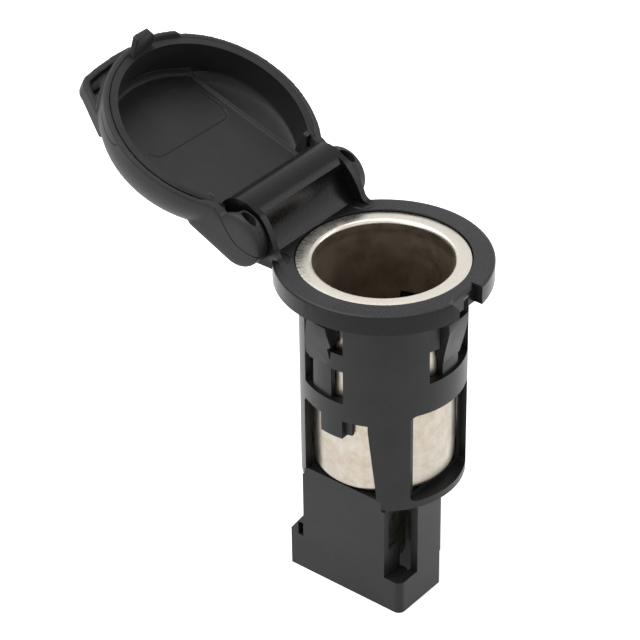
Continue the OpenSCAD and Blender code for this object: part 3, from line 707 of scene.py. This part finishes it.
def ring_plastic(name, colour):
    """Bezel plastic: semi-gloss and faintly rippled, with the front of the flange's top face painted greyer
    as a painted sheen.
    """
    made = moulded(name, colour, roughness=0.27, grain=4200, relief=0.000002, gloss=0.19, cloud=0.2)
    _, y, z = made.axes()
    top_face = made.times(made.spread(z, 0.0027, 0.0031, 0, 1), made.spread(z, 0.0034, 0.0032, 0, 1))
    # The front of the flange's top face is painted lighter: a painted sheen of the bright backdrop that it
    # reflects.
    painted_sheen = made.times(top_face, made.spread(y, 0.0128, 0.0095, 0, 1))
    made.drive("Base Color", made.blend(painted_sheen, made.clouded(0.8, 1.2), made.clouded(3.4, 4.6)))
    ripple = made.noise(700, 2)
    made.bump(ripple, 0.000008, 0.5)
    return made.material


def barrel_plastic(name, colour):
    """Barrel and connector plastic: satin, with faint draw lines along the mould."""
    made = moulded(name, colour, roughness=0.38, grain=5000, relief=0.000008, gloss=0.24, cloud=0.2)
    lines = made.noise(900, 3, 0.5, (1, 1, 0.06))
    made.bump(lines, 0.000025, 0.6)
    return made.material


def pressed_fibre(name, colour):
    """Pressed insulating fibre, mottled and dull."""
    made = moulded(name, colour, roughness=0.6, grain=3800, relief=0.00003, gloss=0.3, cloud=0.35)
    return made.material


def rim_strokes(made, x, y, z, reach):
    """How dark the fine lines round the rim's outer edge are.

    They are noise that changes quickly with the angle about the axis and slowly with the distance from it.
    They show on the rim's outer edge alone, and fade out to both sides of one direction.
    """
    middle, by_angle, by_reach = radians(122), 0.0125, 0.05
    comb = made.tree.nodes.new("ShaderNodeCombineXYZ")
    made.link(made.times(made.math("ARCTAN2", y, x), by_angle), comb.inputs["X"])
    made.link(made.times(reach, by_reach), comb.inputs["Y"])
    strokes = made.tree.nodes.new("ShaderNodeTexNoise")
    strokes.inputs["Scale"].default_value = 6500
    strokes.inputs["Detail"].default_value = 2
    made.link(comb.outputs["Vector"], strokes.inputs["Vector"])
    along = made.math("ADD", made.times(x, cos(middle)), made.times(y, sin(middle)))
    where = made.times(made.spread(made.math("DIVIDE", along, reach), 0.72, 0.95, 0, 1),
                       made.spread(reach, 0.0118, 0.0124, 0, 1))
    where = made.times(where, made.spread(z, 0.0022, 0.0026, 0, 1))
    return made.times(made.spread(strokes.outputs["Fac"], 0.47, 0.6, 0, 0.85), where)


def nickel_plating(name, bright, dull, inner_radius):
    """Nickel plating: bright on the rim, darker outside and mottled with stains, brown and smooth inside the
    bore.

    The distance from the bore's axis and the height tell the zones apart.
    """
    made = Finish(name, bright, 0.3, 1.0)
    stained, inked = (0.385, 0.33, 0.26, 1.0), (0.05, 0.048, 0.045, 1.0)
    x, y, z = made.axes()
    reach = made.math("SQRT", made.math("ADD", made.times(x, x), made.times(y, y)))
    bore = made.times(made.spread(reach, inner_radius + 0.0002, inner_radius + 0.0001, 0, 1),
                      made.spread(z, 0.0024, 0.0012, 0, 1))
    outside = made.spread(z, 0.0010, 0.0005, 0, 1)
    mottle = made.noise(380, 5, 0.7)
    spots = made.noise(1400, 3, 0.7)
    stain = made.spread(made.math("ADD", mottle, made.times(spots, 0.35)), 0.5, 0.85, 0, 1)
    plated = made.blend(stain, made.tint(1.12), made.tint(0.92))
    # Below the rim the plating is a darker copy of itself, and the stains mottle it.
    darker_outside = made.blend(stain, made.tint(0.68), stained)
    cloudy = made.spread(made.noise(150, 3, 0.5, (1, 1, 0.6)), 0.3, 0.7, 0, 1)
    darker, lighter = (tuple(c * amount for c in dull) + (1.0,) for amount in (0.82, 1.2))
    bore_colour = made.blend(cloudy, darker, lighter)
    rim_colour = made.blend(rim_strokes(made, x, y, z, reach), plated, inked)
    made.drive("Base Color", made.blend(bore, made.blend(outside, rim_colour, darker_outside), bore_colour))
    rough = made.math("ADD", made.spread(mottle, 0.3, 0.7, 0.2, 0.36), made.times(bore, 0.14))
    made.drive("Roughness", made.math("ADD", rough, made.times(outside, 0.08)))
    streak = made.noise(1500, 3, 0.55, (1, 1, 0.05))
    made.bump(streak, 0.000005, 0.4)
    return made.material


def plain_metal(name, colour, roughness):
    """Pressed or turned metal with fine brushing."""
    made = Finish(name, colour, roughness, 1.0)
    lines = made.noise(2600, 3, 0.6, (1, 1, 0.15))
    made.drive("Roughness", made.spread(lines, 0.3, 0.7, roughness - 0.08, roughness + 0.1))
    stain = made.spread(made.noise(500, 3), 0.35, 0.7, 0, 1)
    made.drive("Base Color", made.blend(stain, made.tint(1.05), made.tint(0.7)))
    made.bump(lines, 0.000006)
    return made.material


def give(made, material):
    """Puts one material on a piece."""
    made.data.materials.clear()
    made.data.materials.append(material)


def finish_node(node, material):
    """Puts a material on a CAD node through its object's slots."""
    for slot in NODES[node].material_slots:
        slot.link = "OBJECT"
        slot.material = material


# The drawn shell, in mm

def shell_profile(sizes, bottom, top, levels):
    """The shell's section, a closed line of radius and height: up the bore, over the rim, down outside."""
    hole, seat, edge, root = 2.62, 6.0, 0.12, 0.1
    r, t = sizes.bore_radius / MM, sizes.sheet / MM
    rim, roll, corner = sizes.rim_radius / MM, sizes.rim_roll / MM, sizes.floor_corner / MM
    bend_r = r + t - sizes.nose_draft / MM - corner
    return np.concatenate([
        [[hole, bottom + t], [seat, bottom + t]],
        arc(bend_r, bottom + corner, corner - t, -90, 0, 8),
        [[r, z] for z in levels],
        arc(r + roll, top - roll, roll, 180, 90, 10),
        arc(rim - edge, top - edge, edge, 90, 0, 5),
        arc(rim - edge, top - t + edge, edge, 0, -90, 5),
        arc(r + t + root, top - t - root, root, 90, 180, 4),
        [[r + t, z] for z in reversed(levels)],
        arc(bend_r, bottom + corner, corner, 0, -90, 12),
        [[seat, bottom], [hole, bottom]],
    ])


def turned(profile, columns, start):
    """Points of a profile turned about the z axis: rows along it, columns from the start angle round."""
    turn = np.radians(np.arange(columns) * 360.0 / columns + start)
    radius, height = profile[:, :1], np.broadcast_to(profile[:, 1:], (len(profile), columns))
    return np.stack([radius * np.cos(turn), radius * np.sin(turn), height], 2)


def punched_faces(faces, columns, inside, outside, first, last):
    """Opens a window between two columns in a turned sheet, and closes the four cut edges.

    The inside row runs from the sill up to the head, and the outside row from the head down to the sill.
    """
    row, column = faces[:, 0] // columns, faces[:, 0] % columns
    punched = ((row == inside) | (row == outside)) & (column >= first) & (column < last)
    c = np.arange(first, last)
    low_in, top_in, top_out, low_out = (k * columns for k in (inside, inside + 1, outside, outside + 1))
    sill = np.stack([low_in + c, low_out + c, low_out + c + 1, low_in + c + 1], 1)
    head = np.stack([top_in + c, top_in + c + 1, top_out + c + 1, top_out + c], 1)
    sides = np.array([[low_in + first, top_in + first, top_out + first, low_out + first],
                      [low_in + last, low_out + last, top_out + last, top_in + last]])
    return np.concatenate([faces[~punched], sill, head, sides])


# Operators

class SOCKET_OT_shell(bpy.types.Operator):
    """Draw the nickel-plated shell: a profile turned about the bore, with a window punched in its wall"""
    bl_idname = "socket.shell"
    bl_label = "Socket shell"

    def execute(self, context):
        sizes, finishes = context.scene.socket_sizes, context.scene.socket_finishes
        columns, seam = 288, -30
        bottom, top = (corner.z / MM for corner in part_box("socket_shell"))
        head = sizes.window_top / MM
        sill = head - sizes.window_height / MM
        nose = bottom + (sizes.floor_corner + sizes.nose_height) / MM
        profile = shell_profile(sizes, bottom, top, [nose, -24.0, sill, head, -5.0])
        sill_row, head_row = (
            int(np.flatnonzero(np.isclose(profile[:, 0], wall / MM) & np.isclose(profile[:, 1], z))[0])
            for wall, z in ((sizes.bore_radius, sill), (sizes.bore_radius + sizes.sheet, head)))
        first, last = (round((degrees(sizes.window_angle + half) - seam) * columns / 360)
                       for half in (-sizes.window_span / 2, sizes.window_span / 2))
        sheet = grid_faces(len(profile), columns, True, True)
        faces = punched_faces(sheet, columns, sill_row, head_row, first, last)
        made = put_mesh("drawn_shell", turned(profile, columns, seam).reshape(-1, 3), faces)
        face_outwards(made)
        made.data.set_sharp_from_angle(angle=radians(40))
        give(made, nickel_plating("nickel plating", finishes.nickel, finishes.bore, sizes.bore_radius))
        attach(made, "socket")
        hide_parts("socket_shell")
        return {"FINISHED"}


class SOCKET_OT_ring(bpy.types.Operator):
    """Round the edges of the bezel ring and its knuckle"""
    bl_idname = "socket.ring"
    bl_label = "Bezel ring"

    def execute(self, context):
        sizes, finishes = context.scene.socket_sizes, context.scene.socket_finishes
        made = bevelled_copy("bezel", "bezel_ring", sizes.moulded_edge)
        give(made, ring_plastic("ring plastic", finishes.ring))
        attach(made, "socket")
        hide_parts("bezel")
        for side in (1, -1):
            foot = eased([(9.9, 15.0, 3.3), (9.3, 14.1, 3.1), (8.5, 12.9, 3.05), (8.55, 11.5, 3.05),
                          (9.4, 10.35, 3.05), (10.7, 9.85, 3.0)], 48)
            name = "foot_lip_right" if side < 0 else "foot_lip_left"
            lip = bead_along(name, mirrored(foot, side), sizes.foot_lip / MM)
            give(lip, made.data.materials[0])
            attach(lip, "socket")
        return {"FINISHED"}


class SOCKET_OT_barrel(bpy.types.Operator):
    """Round the edges of the windowed barrel and the connector block"""
    bl_idname = "socket.barrel"
    bl_label = "Windowed barrel"

    def execute(self, context):
        sizes, finishes = context.scene.socket_sizes, context.scene.socket_finishes
        made = bevelled_copy("housing", "windowed_barrel", sizes.moulded_edge)
        give(made, barrel_plastic("barrel plastic", finishes.barrel))
        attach(made, "socket")
        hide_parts("housing")
        return {"FINISHED"}


class SOCKET_OT_cup(bpy.types.Operator):
    """Round the edges of the lid's inner cup"""
    bl_idname = "socket.cup"
    bl_label = "Lid cup"

    def execute(self, context):
        sizes, finishes = context.scene.socket_sizes, context.scene.socket_finishes
        angle, bead, groove = sizes.lid_open, sizes.bead / MM, sizes.groove / MM
        made = bevelled_copy("lid_liner", "lid_cup", sizes.moulded_edge)
        settle(made)
        x, y = cup_plan(CUP_RADIUS, CUP_REAR + 0.2, 150)
        floor = np.stack([x, y, cup_floor(x, y, bead)], 2)
        mouth = np.stack([x, y, np.full(x.shape, LID_RIM_Z - 0.6)], 2)
        work_in(made, slab("cup room", opened(mouth, angle), opened(floor, angle)), "DIFFERENCE")
        x, y = cup_plan(CUP_RADIUS + 0.3, CUP_REAR, 150)
        floor = np.stack([x, y, cup_floor(x, y, bead)], 2)
        back = np.stack([x, y, cup_back(x, y, floor[..., 2])], 2)
        work_in(made, slab("cup floor", opened(floor, angle), opened(back, angle)), "UNION")
        panel = panel_outline()
        line = np.column_stack([panel, cup_floor(panel[:, 0], panel[:, 1], 0) - 0.02])
        work_in(made, bead_along("panel groove", opened(line, angle), groove), "DIFFERENCE")
        for cutter in ear_cutters(groove, angle):
            if cutter.name.startswith(("oval", "crescent")):
                work_in(made, cutter, "DIFFERENCE")
            else:
                bpy.data.objects.remove(cutter)
        soften_shading(made, SHARP_ANGLE)
        give(made, cup_plastic("cup plastic", finishes.cup))
        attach(made, "lid")
        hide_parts("lid_liner")
        return {"FINISHED"}


class SOCKET_OT_skin(bpy.types.Operator):
    """Melt the lid's outer skin into one soft moulding with round edges"""
    bl_idname = "socket.skin"
    bl_label = "Lid skin"

    def execute(self, context):
        sizes, finishes = context.scene.socket_sizes, context.scene.socket_finishes
        angle, groove = sizes.lid_open, sizes.groove / MM
        made = welded_copy("lid_cover", "lid_skin")
        for side in (1, -1):
            work_in(made, ear_end("old end", side, angle), "DIFFERENCE")
            work_in(made, ear_bulb("ear bulb", side, angle), "UNION")
        work_in(made, pocket_floor("pocket floor", angle), "UNION")
        remesh = made.modifiers.new("even mesh", "REMESH")
        remesh.mode = "VOXEL"
        remesh.voxel_size = sizes.skin_grain
        soften = made.modifiers.new("soft edges", "SMOOTH")
        soften.factor = 0.5
        soften.iterations = 10
        settle(made)
        x, y = cup_plan(CUP_RADIUS + 0.25, CUP_REAR - 2, 90)
        floor = np.stack([x, y, cup_floor(x, y, 0)], 2)
        seat, over = opened(floor - (0, 0, 1.2), angle), opened(floor + (0, 0, 0.5), angle)
        work_in(made, slab("cup seat", seat, over), "DIFFERENCE")
        for cutter in ear_cutters(groove, angle):
            work_in(made, cutter, "DIFFERENCE")
        for side in (1, -1):
            work_in(made, pad_seam("pad seam", side, groove, angle), "DIFFERENCE")
        soften_shading(made, radians(50))
        give(made, soft_skin("soft skin", finishes.lid))
        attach(made, "lid")
        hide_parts("lid_cover")
        return {"FINISHED"}


class SOCKET_OT_contacts(bpy.types.Operator):
    """Finish the contacts, insulators, terminals and hinge pin"""
    bl_idname = "socket.contacts"
    bl_label = "Contacts and pin"

    def execute(self, context):
        finishes = context.scene.socket_finishes
        brass = plain_metal("turned brass", finishes.brass, 0.32)
        tinned = plain_metal("tinned brass", finishes.tinned, 0.36)
        steel = plain_metal("plain steel", finishes.steel, 0.35)
        fibre = pressed_fibre("pressed fibre", finishes.fibre)
        finish_node("contact_rivet", brass)
        finish_node("contact_bush", fibre)
        finish_node("insulating_washer", fibre)
        finish_node("positive_terminal", tinned)
        finish_node("ground_terminal", tinned)
        finish_node("clamp_washer", steel)
        finish_node("ground_rivet", steel)
        finish_node("hinge_pin", steel)
        return {"FINISHED"}


class SOCKET_OT_stage(bpy.types.Operator):
    """Set the pale floor, the soft lights, the world and the camera"""
    bl_idname = "socket.stage"
    bl_label = "Stage"

    def execute(self, context):
        scene, finishes = context.scene, context.scene.socket_finishes
        clearance, reach = 0.05, 3000.0
        low = CAD_BOX[0].z / MM - clearance
        corners = [[-reach, -reach, low], [reach, -reach, low], [reach, reach, low], [-reach, reach, low]]
        floor = put_mesh("studio_floor", corners, [[0, 1, 2, 3]], False)
        give(floor, floor_paint(finishes.floor))
        set_world(scene)
        for name, place, size, power in (
                ("overhead softbox", (-0.05, 0.26, 0.77), (0.9, 0.7), 6.8),
                ("left softbox", (-0.75, 0.10, 0.35), (0.5, 0.6), 0.6),
                ("right strip", (0.55, -0.45, 0.30), (0.14, 0.7), 1.0),
                ("front fill", (-0.25, -0.80, 0.40), (0.6, 0.5), 0.3)):
            soft_lamp(name, place, size, power)
        set_camera(scene)
        scene.view_settings.view_transform = "Standard"
        return {"FINISHED"}


def floor_paint(colour):
    """Pale floor that shows white to the camera and in reflections, and keeps the object's shadow."""
    made = Finish("floor paint", colour, 0.9)
    glow = made.tree.nodes.new("ShaderNodeEmission")
    glow.inputs["Color"].default_value = (1, 1, 1, 1)
    made.link(made.times(made.sees_backdrop(), 0.8), glow.inputs["Strength"])
    total = made.tree.nodes.new("ShaderNodeAddShader")
    made.link(made.shader.outputs["BSDF"], total.inputs[0])
    made.link(glow.outputs["Emission"], total.inputs[1])
    made.link(total.outputs["Shader"], made.tree.nodes["Material Output"].inputs["Surface"])
    dusty = made.spread(made.noise(6, 2), 0.3, 0.7, 0, 1)
    made.drive("Base Color", made.blend(dusty, made.tint(0.98), made.tint(1.0)))
    return made.material


def set_world(scene):
    """White to the camera, to gloss and to glass, and a dimmer even light elsewhere."""
    white, dim = 1.0, 0.30
    world = bpy.data.worlds.new("studio")
    scene.world = world
    world.use_nodes = True
    made = Nodes(world.node_tree)
    background = made.tree.nodes["Background"]
    background.inputs["Color"].default_value = (1, 1, 1, 1)
    made.link(made.spread(made.sees_backdrop(), 0, 1, dim, white), background.inputs["Strength"])


def soft_lamp(name, place, size, power):
    """A rectangular softbox that looks at the socket."""
    lamp = bpy.data.lights.new(name, "AREA")
    lamp.shape = "RECTANGLE"
    lamp.size, lamp.size_y = size
    lamp.energy = power
    made = bpy.data.objects.new(name, lamp)
    made.location = place
    made.rotation_mode = "QUATERNION"
    made.rotation_quaternion = (Vector((0, 0, -0.01)) - Vector(place)).to_track_quat("-Z", "Y")
    bpy.context.scene.collection.objects.link(made)


def set_camera(scene):
    """A long lens from the front left and above, rolled a little, as the photograph was taken."""
    turn, rise, roll = radians(-50.862), radians(33.632), radians(-0.85)
    distance, shift_right, shift_up, aim_z = 0.3972, 0.00953, 0.00931, 0.00285
    sensor, focal_length = 36, 149.4
    right = Vector((cos(turn), sin(turn), 0))
    ahead = Vector((-sin(turn) * cos(rise), cos(turn) * cos(rise), -sin(rise)))
    up = right.cross(ahead)
    level = right * cos(roll) + up * sin(roll)
    upright = -right * sin(roll) + up * cos(roll)
    place = Vector((0, 0, aim_z)) - level * shift_right - upright * shift_up - ahead * distance
    lens = bpy.data.cameras.new("camera")
    lens.sensor_width, lens.lens = sensor, focal_length
    lens.clip_start, lens.clip_end = 0.01, 10
    camera = bpy.data.objects.new("camera", lens)
    camera.matrix_world = Matrix.Translation(place) @ Matrix((level, upright, -ahead)).transposed().to_4x4()
    scene.collection.objects.link(camera)
    scene.camera = camera


class SOCKET_PT_panel(bpy.types.Panel):
    """The socket's pieces, sizes and finishes"""
    bl_idname = "SOCKET_PT_panel"
    bl_label = "Car power socket"
    bl_space_type = "VIEW_3D"
    bl_region_type = "UI"
    bl_category = "Socket"

    def draw(self, context):
        for operator in OPERATORS:
            self.layout.operator(operator.bl_idname)
        for group in (context.scene.socket_sizes, context.scene.socket_finishes):
            for name in group.bl_rna.properties.keys():
                if name not in ("rna_type", "name"):
                    self.layout.prop(group, name)


OPERATORS = (SOCKET_OT_shell, SOCKET_OT_ring, SOCKET_OT_barrel, SOCKET_OT_cup, SOCKET_OT_skin,
             SOCKET_OT_contacts, SOCKET_OT_stage)
CLASSES = (SocketSizes, SocketFinishes, *OPERATORS, SOCKET_PT_panel)


def register():
    """Registers the classes and hangs the sizes and finishes on the scene."""
    for cls in CLASSES:
        bpy.utils.register_class(cls)
    bpy.types.Scene.socket_sizes = bpy.props.PointerProperty(type=SocketSizes)
    bpy.types.Scene.socket_finishes = bpy.props.PointerProperty(type=SocketFinishes)


def unregister():
    """Takes everything that register() made away again."""
    del bpy.types.Scene.socket_finishes
    del bpy.types.Scene.socket_sizes
    for cls in reversed(CLASSES):
        bpy.utils.unregister_class(cls)


def main():
    """Makes every piece in order."""
    register()
    bpy.ops.socket.shell()
    bpy.ops.socket.ring()
    bpy.ops.socket.barrel()
    bpy.ops.socket.cup()
    bpy.ops.socket.skin()
    bpy.ops.socket.contacts()
    bpy.ops.socket.stage()


if __name__ == "__main__":
    main()
